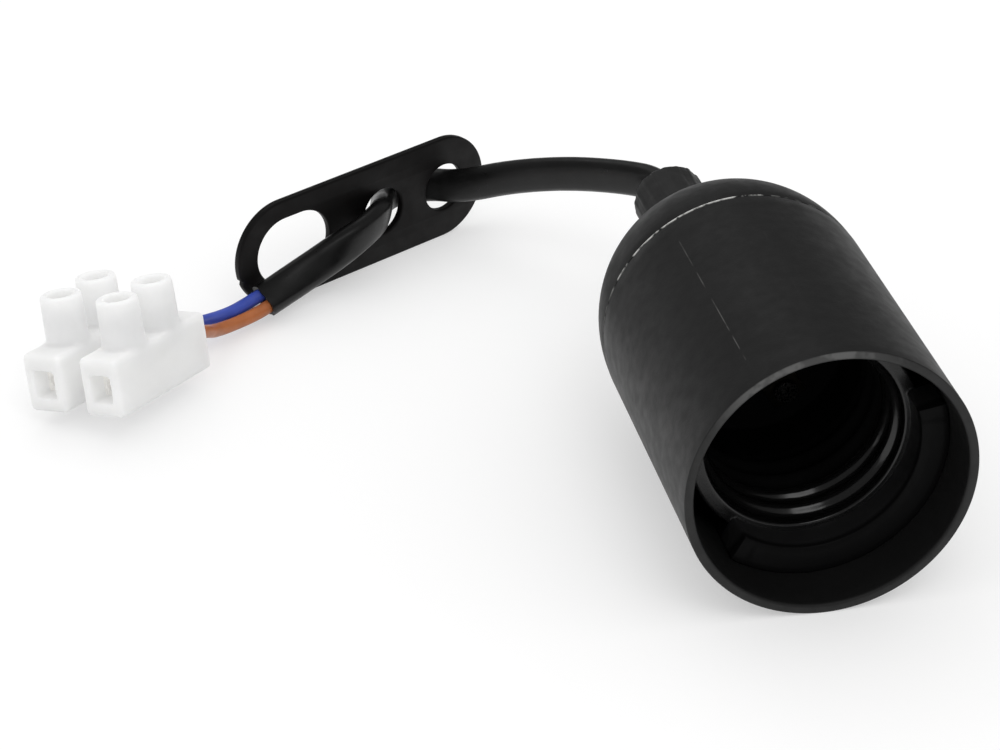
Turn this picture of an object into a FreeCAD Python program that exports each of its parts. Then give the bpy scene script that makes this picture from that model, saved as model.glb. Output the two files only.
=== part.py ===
import FreeCAD, Part
import Sketcher
import math
import os

# Pendant lamp holder: a moulded shell with a threaded insert, a short flat flex with a
# hanging plate threaded on it, and a two-pole screw terminal block. All sizes are in mm.
SIZES = {
    "shell_radius": 19.3,
    "shell_wall": 1.3,
    "skirt_length": 44.0,
    "holder_length": 82.3,
    "seat_from_shoulder": 5.0,
    "seat_step": 1.1,
    "neck_radius": 5.35,
    "neck_rib_radius": 0.55,
    "neck_rib_count": 18.0,
    "neck_rib_proud": 0.15,
    "flex_width": 5.2,
    "flex_thickness": 3.2,
    "flex_clearance": 0.1,
    "grip_radius": 3.7,
    "grip_length": 6.0,
    "grip_flange_radius": 5.6,
    "grip_flange": 1.4,
    "grip_end_past_dome": 1.7,
    "insert_clearance": 0.1,
    "lip_depth": 12.3,
    "lip_radius": 13.4,
    "lead_in": 1.3,
    "thread_crest_radius": 12.3,
    "thread_pitch": 3.63,
    "thread_root_radius": 1.25,
    "thread_turns": 4.0,
    "sleeve_wall": 2.2,
    "floor_thickness": 2.7,
    "flange_thickness": 2.4,
    "ledge_depth": 8.0,
    "ledge_inner_radius": 14.3,
    "ledge_thickness": 7.0,
    "ledge_start": -20.0,
    "ledge_sweep": 148.0,
    "end_rib_width": 2.6,
    "end_rib_proud": 0.5,
    "well_radius": 12.9,
    "contact_thickness": 0.5,
    "contact_width": 5.0,
    "centre_contact_rise": 3.2,
    "centre_contact_reach": 2.6,
    "side_contact_rise": 6.4,
    "side_contact_radius": 11.6,
    "rivet_circle": 8.4,
    "rivet_angle": 57.0,
    "rivet_shank_radius": 1.0,
    "rivet_head_radius": 1.6,
    "rivet_head": 0.5,
    "rivet_clearance": 0.05,
    "strip_hole_clearance": 0.15,
    "rocking_gap": 0.35,
    "strip_margin": 0.2,
    "side_contact_lean": 0.6,
    "lug_width": 3.4,
    "lug_reach": 4.0,
    "barrel_wall": 0.45,
    "barrel_length": 4.0,
    "core_radius": 1.0,
    "core_spacing": 2.1,
    "core_lead": 2.5,
    "core_gap": 0.2,
    "lug_core_rise": 6.7,
    "inner_core_lead": 4.5,
    "flex_tail": 1.0,
    "copper_radius": 0.6,
    "plate_length": 49.4,
    "plate_width": 17.0,
    "plate_thickness": 1.3,
    "plate_edge": 0.3,
    "plate_x": -42.6,
    "plate_y": 65.0,
    "plate_yaw": 30.8,
    "cord_hole_radius": 3.85,
    "cord_hole_outer": 16.5,
    "cord_hole_inner": 3.9,
    "hook_hole_length": 14.0,
    "hook_hole_width": 10.8,
    "hook_hole_offset": 14.0,
    "block_x": -83.4,
    "block_y": 29.8,
    "block_yaw": -40.2,
    "block_pitch": -11.1,
    "block_roll": -6.1,
    "pole_pitch": 10.0,
    "pole_width": 6.6,
    "pole_length": 21.9,
    "pole_height": 8.6,
    "pole_round": 0.7,
    "web_length": 9.6,
    "web_height": 6.0,
    "fixing_hole_radius": 1.6,
    "tower_spacing": 8.2,
    "tower_foot_radius": 3.2,
    "tower_top_radius": 3.0,
    "tower_height": 15.6,
    "tower_bore_radius": 1.95,
    "entry_width": 3.6,
    "entry_height": 4.1,
    "entry_level": 4.1,
    "tube_length": 15.6,
    "tube_clearance": 0.1,
    "tube_bore_drop": 0.3,
    "tube_bore_radius": 1.25,
    "screw_radius": 1.3,
    "screw_clearance": 0.05,
    "screw_length": 6.2,
    "screw_head_radius": 1.65,
    "screw_head": 1.6,
    "screw_slot_width": 0.5,
    "screw_slot_depth": 0.8,
    "screw_seat_gap": 0.05,
    "open_screw_lift": 1.6,
    "strip_length": 6.0,
}

# Route of the flat flex from the neck to the stripped end, through the plate's two holes.
# The plate stretch is given along the plate, out from its face, and up.
NECK_ROUTE = [
    (0.0, 41.15, 19.3),
    (0.0, 46.0, 19.3),
    (-4.6, 51.6, 18.3),
    (-11.8, 58.5, 16.3),
    (-19.3, 65.3, 13.1),
]
PLATE_ROUTE = [
    (17.6, 3.55, 9.3),
    (15.65, -2.85, 8.1),
    (10.2, -5.3, 8.0),
    (4.75, -2.85, 8.3),
    (3.0, 2.9, 8.9),
    (-2.6, 4.9, 9.2),
    (-9.6, 4.5, 7.3),
    (-16.2, 4.1, 5.4),
    (-22.7, 3.7, 3.6),
]
# The cores leave the flex one above the other and end in the block's two poles.
BLUE_ROUTE = [(-67.03, 46.15, 4.17), (-72.1, 46.33, 1.57), (-77.51, 45.1, 4.19)]
BROWN_ROUTE = [(-68.8, 45.23, 0.9), (-69.71, 39.13, 6.07)]

# How deep the insert's back lies from the mouth, and where the grip sleeve ends.
SEAT_DEPTH = "(Dim.skirt_length - Dim.seat_from_shoulder)"
GRIP_END = "(Dim.skirt_length + Dim.shell_radius + Dim.grip_end_past_dome)"
# Share of the shorter run that each bend of a cord takes.
BEND_SHARE = 0.45
# How near two lengths must be to count as the same.
TOLERANCE = 0.01

doc = FreeCAD.newDocument("LampHolder")
sheet = doc.addObject("Spreadsheet::Sheet", "Dim")
for row, (alias, value) in enumerate(SIZES.items(), start=1):
    sheet.set(f"A{row}", alias)
    sheet.set(f"B{row}", str(value))
    sheet.setAlias(f"B{row}", alias)
doc.recompute()


def dim(alias):
    return float(getattr(sheet, alias))


def bind(item, **formulas):
    for prop, formula in formulas.items():
        item.setExpression(prop, formula)
    return item


def move(item, x="0", y="0", z="0"):
    item.setExpression(".Placement.Base.x", x)
    item.setExpression(".Placement.Base.y", y)
    item.setExpression(".Placement.Base.z", z)
    return item


def cylinder(name, radius, height, x="0", y="0", z="0"):
    return move(bind(doc.addObject("Part::Cylinder", name), Radius=radius, Height=height), x, y, z)


def cone(name, low_radius, high_radius, height, x="0", y="0", z="0"):
    item = bind(doc.addObject("Part::Cone", name), Radius1=low_radius, Radius2=high_radius, Height=height)
    return move(item, x, y, z)


def box(name, length, width, height, x, y, z):
    item = bind(doc.addObject("Part::Box", name), Length=length, Width=width, Height=height)
    return move(item, x, y, z)


def centred_box(name, length, width, height, x="0", y="0", z="0"):
    return box(name, length, width, height, f"{x} - ({length}) / 2", f"{y} - ({width}) / 2", z)


def fuse(name, pieces):
    item = doc.addObject("Part::MultiFuse", name)
    item.Shapes = pieces
    item.Refine = True
    return item


def cut(name, base, tool):
    item = doc.addObject("Part::Cut", name)
    item.Base = base
    item.Tool = tool
    item.Refine = True
    return item


def stadium(name, width, thickness, height, z):
    """A flat-flex section, wide along Y, as a prism from z upwards."""
    reach = f"({width} - {thickness}) / 2"
    middle = centred_box(name + "Middle", thickness, f"{width} - {thickness}", height, z=z)
    ends = [cylinder(name + f"End{side}", f"{thickness} / 2", height, y=f"{sign}{reach}", z=z)
            for side, sign in enumerate(("", "-"))]
    return fuse(name, [middle] + ends)


def round_edges(name, base, radius, chosen=None):
    doc.recompute()
    item = doc.addObject("Part::Fillet", name)
    item.Base = base
    edges = base.Shape.Edges
    item.Edges = [(i, radius, radius) for i, edge in enumerate(edges, start=1) if chosen is None or chosen(edge)]
    return item


NODES = []


def node(item, label, placement):
    item.Label = label
    item.Placement = placement
    NODES.append(item)
    return item


# Frames of the three groups: the holder lies on its side, the plate stands on its long
# edge, and the block rests on one corner, propped up by its stiff cores.
HOLDER = FreeCAD.Placement(
    FreeCAD.Vector(0, -dim("holder_length") / 2, dim("shell_radius")), FreeCAD.Rotation(0, 0, -90))
PLATE_TURN = FreeCAD.Rotation(dim("plate_yaw"), 0, 90)
PLATE_BACK = PLATE_TURN.multVec(FreeCAD.Vector(0, 0, -dim("plate_thickness") / 2))
PLATE = FreeCAD.Placement(FreeCAD.Vector(dim("plate_x"), dim("plate_y"), 0) + PLATE_BACK, PLATE_TURN)
BLOCK_TURN = FreeCAD.Rotation(dim("block_yaw"), dim("block_pitch"), dim("block_roll"))
BLOCK_CORNER = FreeCAD.Vector((dim("pole_pitch") + dim("pole_width")) / 2, dim("pole_length") / 2, 0)
BLOCK_LIFT = -min(BLOCK_TURN.multVec(FreeCAD.Vector(x * BLOCK_CORNER.x, y * BLOCK_CORNER.y, 0)).z
                  for x in (-1, 1) for y in (-1, 1))
BLOCK = FreeCAD.Placement(FreeCAD.Vector(dim("block_x"), dim("block_y"), BLOCK_LIFT), BLOCK_TURN)


def outer_shell():
    """Skirt, dome and ribbed neck, moulded in one; the mouth is at z = 0."""
    skirt = cylinder("Skirt", "Dim.shell_radius", "Dim.skirt_length")
    dome = move(bind(doc.addObject("Part::Sphere", "Dome"), Radius="Dim.shell_radius"), z="Dim.skirt_length")
    dome.Angle1 = 0
    neck_length = "Dim.holder_length - Dim.skirt_length"
    neck = cylinder("Neck", "Dim.neck_radius", neck_length, z="Dim.skirt_length")
    ribs = []
    for index in range(int(dim("neck_rib_count"))):
        turn = f"{index} * 360 / Dim.neck_rib_count"
        place = "(Dim.neck_radius + Dim.neck_rib_proud - Dim.neck_rib_radius)"
        ribs.append(cylinder(f"NeckRib{index}", "Dim.neck_rib_radius", neck_length,
                             f"{place} * cos({turn})", f"{place} * sin({turn})", "Dim.skirt_length"))
    body = fuse("ShellOutside", [skirt, dome, neck] + ribs)

    bore = cylinder("ShellBore", "Dim.shell_radius - Dim.shell_wall", SEAT_DEPTH)
    cavity_radius = "Dim.shell_radius - Dim.shell_wall - Dim.seat_step"
    back = cylinder("BackCavity", cavity_radius, f"Dim.skirt_length - {SEAT_DEPTH}", z=SEAT_DEPTH)
    vault = move(bind(doc.addObject("Part::Sphere", "Vault"), Radius=cavity_radius), z="Dim.skirt_length")
    vault.Angle1 = 0
    socket = cylinder("GripPocket", "Dim.grip_radius + Dim.flex_clearance",
                      f"{GRIP_END} - Dim.skirt_length", z="Dim.skirt_length")
    slot = stadium("NeckSlot", "(Dim.flex_width + 2 * Dim.flex_clearance)",
                   "(Dim.flex_thickness + 2 * Dim.flex_clearance)",
                   "Dim.holder_length - Dim.skirt_length", "Dim.skirt_length")
    inside = fuse("ShellInside", [bore, back, vault, socket, slot])
    node(cut("OuterShell", body, inside), "outer_shell", HOLDER)


def thread_liner():
    """Insert with the lamp thread, a part-ring ledge at its front and a floor at its back."""
    sleeve_radius = "(Dim.lip_radius + Dim.sleeve_wall)"
    flange_radius = "(Dim.shell_radius - Dim.shell_wall - Dim.insert_clearance)"
    sleeve = cylinder("Sleeve", sleeve_radius, f"{SEAT_DEPTH} - Dim.lip_depth", z="Dim.lip_depth")
    flange = cylinder("Flange", flange_radius, "Dim.flange_thickness",
                      z=f"{SEAT_DEPTH} - Dim.flange_thickness")
    ledge = cylinder("Ledge", flange_radius, "Dim.ledge_thickness", z="Dim.ledge_depth")
    ledge.setExpression("Angle", "Dim.ledge_sweep")
    ledge.setExpression(".Placement.Rotation.Angle", "Dim.ledge_start")
    ledge.Placement.Rotation.Axis = FreeCAD.Vector(0, 0, 1)
    pieces = [sleeve, flange, ledge]
    for name, angle in (("Start", "Dim.ledge_start"), ("End", "Dim.ledge_start + Dim.ledge_sweep")):
        rib = box("EndRib" + name, f"{flange_radius} - Dim.ledge_inner_radius", "Dim.end_rib_width",
                  "Dim.ledge_thickness",
                  f"Dim.ledge_inner_radius * cos({angle})", f"Dim.ledge_inner_radius * sin({angle})",
                  "Dim.ledge_depth - Dim.end_rib_proud")
        rib.Placement.Rotation = FreeCAD.Rotation(FreeCAD.Vector(0, 0, 1), 1)
        rib.setExpression(".Placement.Rotation.Angle", angle)
        pieces.append(rib)
    within = cylinder("LinerLimit", flange_radius, SEAT_DEPTH)
    body = doc.addObject("Part::MultiCommon", "LinerOutside")
    body.Shapes = [fuse("LinerForms", pieces), within]

    well_end = f"({SEAT_DEPTH} - Dim.floor_thickness)"
    mouth = cylinder("LedgeMouth", "Dim.ledge_inner_radius", "Dim.lip_depth")
    lead = cylinder("LeadIn", "Dim.lip_radius", "Dim.lead_in", z="Dim.lip_depth")
    crest = cylinder("ThreadCrest", "Dim.thread_crest_radius", f"{well_end} - Dim.lip_depth", z="Dim.lip_depth")
    first = "(Dim.lip_depth + Dim.lead_in + Dim.thread_pitch / 2)"
    tools = [mouth, lead, crest]
    for turn in range(int(dim("thread_turns"))):
        root = doc.addObject("Part::Torus", f"ThreadRoot{turn}")
        bind(root, Radius1="Dim.lip_radius - Dim.thread_root_radius", Radius2="Dim.thread_root_radius")
        tools.append(move(root, z=f"{first} + {turn} * Dim.thread_pitch"))
    thread_end = f"({first} + (Dim.thread_turns - 0.5) * Dim.thread_pitch)"
    tools.append(cylinder("Well", "Dim.well_radius", f"{well_end} - {thread_end}", z=thread_end))
    for name, side in (("Centre", ""), ("Side", "-")):
        tools.append(cylinder(f"{name}RivetHole", "Dim.rivet_shank_radius + Dim.rivet_clearance",
                              "Dim.floor_thickness", f"{side}Dim.rivet_circle * cos(Dim.rivet_angle)",
                              f"{side}Dim.rivet_circle * sin(Dim.rivet_angle)", well_end))
    node(cut("ThreadLiner", body, fuse("LinerInside", tools)), "thread_liner", HOLDER)


def turned(placement, angle):
    """A group frame turned about the holder's axis."""
    return placement.multiply(FreeCAD.Placement(FreeCAD.Vector(), FreeCAD.Rotation(angle, 0, 0)))


def strip_profile(name, outline):
    """A body padded from a closed outline in its XZ plane, centred on that plane."""
    body = doc.addObject("PartDesign::Body", name)
    sketch = body.newObject("Sketcher::SketchObject", name + "Sketch")
    plane = next(f for f in body.Origin.OriginFeatures if f.Role == "XZ_Plane")
    sketch.AttachmentSupport = [(plane, "")]
    sketch.MapMode = "FlatFace"
    doc.recompute()
    points = [FreeCAD.Vector(x, z, 0) for x, z, _, _ in outline]
    count = len(points)
    sketch.addGeometry([Part.LineSegment(points[i], points[(i + 1) % count]) for i in range(count)], False)
    for i in range(count):
        sketch.addConstraint(Sketcher.Constraint("Coincident", i, 2, (i + 1) % count, 1))
    for i, (x, z, x_formula, z_formula) in enumerate(outline):
        for kind, value, formula in (("DistanceX", x, x_formula), ("DistanceY", z, z_formula)):
            place = sketch.addConstraint(Sketcher.Constraint(kind, -1, 1, i, 1, value))
            sketch.setExpression(f"Constraints[{place}]", formula)
    pad = body.newObject("PartDesign::Pad", name + "Pad")
    pad.Profile = sketch
    pad.SideType = "Symmetric"
    sketch.Visibility = False
    return body, pad


def outline_of(corners):
    """Corner formulas with the numbers that they now have."""
    scratch = doc.addObject("App::FeaturePython", "Scratch")
    scratch.addProperty("App::PropertyFloat", "Number")
    found = []
    for x_formula, z_formula in corners:
        values = []
        for formula in (x_formula, z_formula):
            scratch.setExpression("Number", formula)
            doc.recompute()
            values.append(scratch.Number)
        found.append((values[0], values[1], x_formula, z_formula))
    doc.removeObject(scratch.Name)
    return found


def contacts():
    """Two folded strips riveted to the floor, each with its rivet and its crimp lug."""
    top = f"({SEAT_DEPTH} - Dim.floor_thickness)"
    tall = "Dim.contact_thickness"
    foot = "(Dim.rivet_circle + Dim.rivet_head_radius + Dim.strip_margin)"
    knee = "(Dim.rivet_circle - Dim.rivet_head_radius - 2 * Dim.strip_margin)"
    heel = "(Dim.rivet_circle - Dim.rivet_head_radius - 3 * Dim.strip_margin)"
    tip = "(-Dim.centre_contact_reach)"
    rise = "Dim.centre_contact_rise"
    centre = outline_of([
        (foot, top), (knee, top), ("Dim.centre_contact_reach", f"{top} - {rise}"), (tip, f"{top} - {rise}"),
        (tip, f"{top} - {rise} - {tall}"), ("Dim.centre_contact_reach", f"{top} - {rise} - {tall}"),
        (knee, f"{top} - {tall}"), (foot, f"{top} - {tall}")])
    wall = "Dim.side_contact_radius"
    tip_face = f"({wall} - Dim.side_contact_lean)"
    side = outline_of([
        (heel, top), (wall, top), (tip_face, f"{top} - Dim.side_contact_rise"),
        (f"({tip_face} - {tall})", f"{top} - Dim.side_contact_rise"), (f"({wall} - {tall})", f"{top} - {tall}"),
        (heel, f"{top} - {tall}")])
    for name, outline, angle in (("Centre", centre, 0), ("Side", side, 180)):
        label = name.lower()
        body, pad = strip_profile(name + "Strip", outline)
        pad.setExpression("Length", "Dim.contact_width")
        hole = cylinder(f"{name}StripHole", "Dim.rivet_shank_radius + Dim.strip_hole_clearance",
                        tall, x="Dim.rivet_circle", z=f"{top} - {tall}")
        frame = turned(HOLDER, dim("rivet_angle") + angle)
        node(cut(f"{name}Contact", body, hole), f"{label}_contact", frame)

        head_start = f"({top} - {tall} - Dim.rocking_gap - Dim.rivet_head)"
        tail = f"({SEAT_DEPTH} + {tall})"
        shank = cylinder(f"{name}Shank", "Dim.rivet_shank_radius", f"{tail} - {head_start}",
                         x="Dim.rivet_circle", z=head_start)
        heads = [cylinder(f"{name}Head", "Dim.rivet_head_radius", "Dim.rivet_head", x="Dim.rivet_circle",
                          z=head_start),
                 cylinder(f"{name}Tail", "Dim.rivet_head_radius", "Dim.rivet_head", x="Dim.rivet_circle", z=tail)]
        node(fuse(f"{name}Rivet", [shank] + heads), f"{label}_rivet", frame)

        barrel_place = "(Dim.rivet_circle - Dim.lug_reach)"
        bore = "(Dim.core_radius + Dim.rivet_clearance)"
        pad_box = centred_box(f"{name}LugPad", "Dim.lug_reach", "Dim.lug_width", tall,
                              x=f"({barrel_place} + Dim.lug_reach / 2)", z=SEAT_DEPTH)
        ends = [cylinder(f"{name}LugEnd{i}", "Dim.lug_width / 2", tall, x=place, z=SEAT_DEPTH)
                for i, place in enumerate(("Dim.rivet_circle", barrel_place))]
        barrel = cylinder(f"{name}Barrel", f"{bore} + Dim.barrel_wall", "Dim.barrel_length", x=barrel_place,
                          z=SEAT_DEPTH)
        lug = fuse(f"{name}LugForms", [pad_box, barrel] + ends)
        holes = fuse(f"{name}LugHoles", [
            cylinder(f"{name}LugRivetHole", "Dim.rivet_shank_radius + Dim.rivet_clearance", tall,
                     x="Dim.rivet_circle", z=SEAT_DEPTH),
            cylinder(f"{name}BarrelBore", bore, f"Dim.barrel_length - {tall}", x=barrel_place,
                     z=f"{SEAT_DEPTH} + {tall}")])
        node(cut(f"{name}Lug", lug, holes), f"{label}_lug", frame)


def cord_grip_sleeve():
    """Flanged sleeve pressed into the root of the neck; the flex passes through its slot."""
    flange = cylinder("GripFlange", "Dim.grip_flange_radius", "Dim.grip_flange",
                      z=f"{GRIP_END} - Dim.grip_length - Dim.grip_flange")
    body = cylinder("GripBody", "Dim.grip_radius", "Dim.grip_length", z=f"{GRIP_END} - Dim.grip_length")
    slot = stadium("GripSlot", "(Dim.flex_width + Dim.flex_clearance)",
                   "(Dim.flex_thickness + Dim.flex_clearance)",
                   "Dim.grip_length + Dim.grip_flange", f"{GRIP_END} - Dim.grip_length - Dim.grip_flange")
    node(cut("CordGrip", fuse("GripForms", [flange, body]), slot), "cord_grip_sleeve", HOLDER)


def flex_in_neck():
    """The straight stretch of flex from inside the dome to the neck's end."""
    start = f"({GRIP_END} - Dim.grip_length - Dim.grip_flange - Dim.flex_tail)"
    node(stadium("FlexInNeck", "Dim.flex_width", "Dim.flex_thickness", f"Dim.holder_length - {start}", start),
         "flex_in_neck", HOLDER)


def long_form(name, length, width, height, x, y):
    """A form with half-round ends, long along X, standing on z = 0."""
    reach = f"(({length}) - ({width})) / 2"
    middle = centred_box(name + "Middle", f"({length}) - ({width})", width, height, x, y)
    ends = [cylinder(name + f"End{side}", f"({width}) / 2", height, f"{x} {sign} {reach}", y)
            for side, sign in enumerate("+-")]
    return fuse(name, [middle] + ends)


def hanger_plate():
    """Flat plate with round ends: two holes for the flex and one long hole for a hook."""
    middle = "Dim.plate_width / 2"
    blank = long_form("PlateBlank", "Dim.plate_length", "Dim.plate_width", "Dim.plate_thickness", "0", middle)
    hook = long_form("HookHole", "Dim.hook_hole_length", "Dim.hook_hole_width", "Dim.plate_thickness",
                     "-Dim.hook_hole_offset", middle)
    cord_holes = [cylinder(f"CordHole{side}", "Dim.cord_hole_radius", "Dim.plate_thickness", place, middle)
                  for side, place in enumerate(("Dim.cord_hole_outer", "Dim.cord_hole_inner"))]
    plate = cut("PlateCut", blank, fuse("PlateHoles", [hook] + cord_holes))
    flat = dim("plate_thickness") - TOLERANCE
    rounded = round_edges("HangerPlate", plate, dim("plate_edge"), lambda edge: edge.BoundBox.ZLength < flat)
    node(rounded, "hanger_plate", PLATE)


POLES = {"blue": "-Dim.pole_pitch / 2", "brown": "Dim.pole_pitch / 2"}
SIDES = {"supply": "-Dim.tower_spacing / 2", "wired": "Dim.tower_spacing / 2"}
BORE_LEVEL = "(Dim.entry_level - Dim.tube_bore_drop)"


def block_housing():
    """Moulded housing: two poles joined by a web, with a screw tower over each tube end."""
    forms = [centred_box("Web", "Dim.pole_pitch", "Dim.web_length", "Dim.web_height")]
    tools = [cylinder("FixingHole", "Dim.fixing_hole_radius", "Dim.web_height")]
    for pole, x in POLES.items():
        name = pole.title()
        body = centred_box(f"{name}Pole", "Dim.pole_width", "Dim.pole_length", "Dim.pole_height", x=x)
        forms.append(round_edges(f"{name}PoleRounded", body, dim("pole_round")))
        tools.append(centred_box(f"{name}Passage", "Dim.entry_width", "Dim.pole_length", "Dim.entry_height", x=x,
                                 z="Dim.entry_level - Dim.entry_height / 2"))
        for side, y in SIDES.items():
            tower = cone(f"{name}{side.title()}Tower", "Dim.tower_foot_radius", "Dim.tower_top_radius",
                         "Dim.tower_height - Dim.pole_height / 2", x, y, "Dim.pole_height / 2")
            rim = round_edges(f"{name}{side.title()}TowerRounded", tower, dim("pole_round") / 2,
                              lambda edge: edge.BoundBox.ZMin > dim("tower_height") - TOLERANCE)
            forms.append(rim)
            tools.append(cylinder(f"{name}{side.title()}Shaft", "Dim.tower_bore_radius",
                                  "Dim.tower_height - Dim.entry_level", x, y, "Dim.entry_level"))
    node(cut("BlockHousing", fuse("HousingForms", forms), fuse("HousingTools", tools)), "block_housing", BLOCK)


def brass_tubes_and_screws():
    """One brass tube in each pole, with two clamp screws: down on the wires, up where open."""
    tube_top = "(Dim.entry_level + Dim.entry_height / 2 - Dim.tube_clearance)"
    tube_low = "(Dim.entry_level - Dim.entry_height / 2 + Dim.tube_clearance)"
    for pole, x in POLES.items():
        name = pole.title()
        bar = centred_box(f"{name}Bar", "Dim.entry_width - 2 * Dim.tube_clearance", "Dim.tube_length",
                          f"{tube_top} - {tube_low}", x=x, z=tube_low)
        bore = cylinder(f"{name}TubeBore", "Dim.tube_bore_radius", "Dim.tube_length", x=x,
                        y="Dim.tube_length / 2", z=BORE_LEVEL)
        bore.Placement.Rotation = FreeCAD.Rotation(FreeCAD.Vector(1, 0, 0), 90)
        holes = [cylinder(f"{name}{side.title()}ScrewHole", "Dim.screw_radius + Dim.screw_clearance",
                          f"{tube_top} - {BORE_LEVEL}", x, y, BORE_LEVEL)
                 for side, y in SIDES.items()]
        node(cut(f"{name}Tube", bar, fuse(f"{name}TubeHoles", [bore] + holes)), f"brass_tube_{pole}", BLOCK)

        copper_top = f"({BORE_LEVEL} - Dim.tube_bore_radius + 2 * Dim.copper_radius)"
        for side, y in SIDES.items():
            key = f"{name}{side.title()}"
            lift = "Dim.screw_seat_gap" if side == "wired" else "Dim.open_screw_lift"
            foot = f"({copper_top} + {lift})"
            shank = cylinder(f"{key}Shank", "Dim.screw_radius", "Dim.screw_length", x, y, foot)
            head = cylinder(f"{key}Head", "Dim.screw_head_radius", "Dim.screw_head", x, y,
                            f"{foot} + Dim.screw_length")
            slot = centred_box(f"{key}Slot", "2 * Dim.screw_head_radius", "Dim.screw_slot_width",
                               "Dim.screw_slot_depth", x, y,
                               f"{foot} + Dim.screw_length + Dim.screw_head - Dim.screw_slot_depth")
            node(cut(f"{key}Screw", fuse(f"{key}Forms", [shank, head]), slot), f"screw_{pole}_{side}", BLOCK)


def copper_ends():
    """Stripped wire ends on the floor of each tube, under the wired screw."""
    level = dim("entry_level") - dim("tube_bore_drop") - dim("tube_bore_radius") + dim("copper_radius")
    for pole, side in (("blue", -1), ("brown", 1)):
        end = bind(doc.addObject("Part::Cylinder", f"{pole.title()}Copper"), Radius="Dim.copper_radius",
                   Height="Dim.strip_length")
        place = FreeCAD.Vector(side * dim("pole_pitch") / 2, dim("tube_length") / 2, level)
        lying = FreeCAD.Placement(place, FreeCAD.Rotation(FreeCAD.Vector(1, 0, 0), 90))
        node(end, f"{pole}_copper_end", BLOCK.multiply(lying))


def rounded_path(points):
    """Straight runs joined by tangent arcs, each as large as its two runs allow."""
    edges = []
    radii = []
    here = points[0]
    for before, corner, after in zip(points, points[1:], points[2:]):
        back = before - corner
        ahead = after - corner
        shorter = min(back.Length, ahead.Length)
        back.normalize()
        ahead.normalize()
        half_turn = (math.pi - back.getAngle(ahead)) / 2
        reach = BEND_SHARE * shorter
        radius = reach / math.tan(half_turn)
        middle = back + ahead
        middle.normalize()
        start = corner + back * reach
        end = corner + ahead * reach
        depth = radius / math.cos(half_turn) - radius
        edges.append(Part.LineSegment(here, start).toShape())
        edges.append(Part.Arc(start, corner + middle * depth, end).toShape())
        radii.append(radius)
        here = end
    edges.append(Part.LineSegment(here, points[-1]).toShape())
    return Part.Wire(edges), radii


def flat_section(start, heading):
    """The flex's flat section, upright, square to the heading."""
    half = (dim("flex_width") - dim("flex_thickness")) / 2
    radius = dim("flex_thickness") / 2
    side = FreeCAD.Vector(0, 0, 1).cross(heading)
    side.normalize()
    up = heading.cross(side)
    up.normalize()
    corners = [start + side * (a * radius) + up * (b * half) for a, b in ((1, -1), (1, 1), (-1, 1), (-1, -1))]
    crown = start + up * (half + radius)
    base = start - up * (half + radius)
    edges = [
        Part.LineSegment(corners[0], corners[1]).toShape(),
        Part.Arc(corners[1], crown, corners[2]).toShape(),
        Part.LineSegment(corners[2], corners[3]).toShape(),
        Part.Arc(corners[3], base, corners[0]).toShape()]
    return Part.Wire(edges)


def cord_node(name, label, solid, path, area, radii):
    """A cord solid in a node of its own, with its length and bend radii printed."""
    item = doc.addObject("Part::Feature", name)
    item.Shape = solid
    ratio = item.Shape.Volume / (area * path.Length)
    print(f"{label}: length {path.Length:.1f}, volume ratio {ratio:.4f}, radii",
          " ".join(f"{radius:.1f}" for radius in radii))
    node(item, label, FreeCAD.Placement())


def flat_cord(name, label, points):
    """The flat flex along its route, kept upright."""
    path, radii = rounded_path(points)
    heading = points[1] - points[0]
    heading.normalize()
    shell = Part.BRepOffsetAPI.MakePipeShell(path)
    shell.setBiNormalMode(FreeCAD.Vector(0, 0, 1))
    shell.add(flat_section(points[0], heading))
    shell.build()
    shell.makeSolid()
    thickness = dim("flex_thickness")
    area = (dim("flex_width") - thickness) * thickness + math.pi * thickness ** 2 / 4
    cord_node(name, label, shell.shape(), path, area, radii)


def core_tube(name, label, points):
    """A round core along its route."""
    path, radii = rounded_path(points)
    heading = points[1] - points[0]
    section = Part.Wire([Part.Circle(points[0], heading, dim("core_radius")).toShape()])
    area = math.pi * dim("core_radius") ** 2
    cord_node(name, label, path.makePipeShell([section], True, False), path, area, radii)


def in_row(placement, x, y, z):
    return placement.multVec(FreeCAD.Vector(x, y, z))


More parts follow.
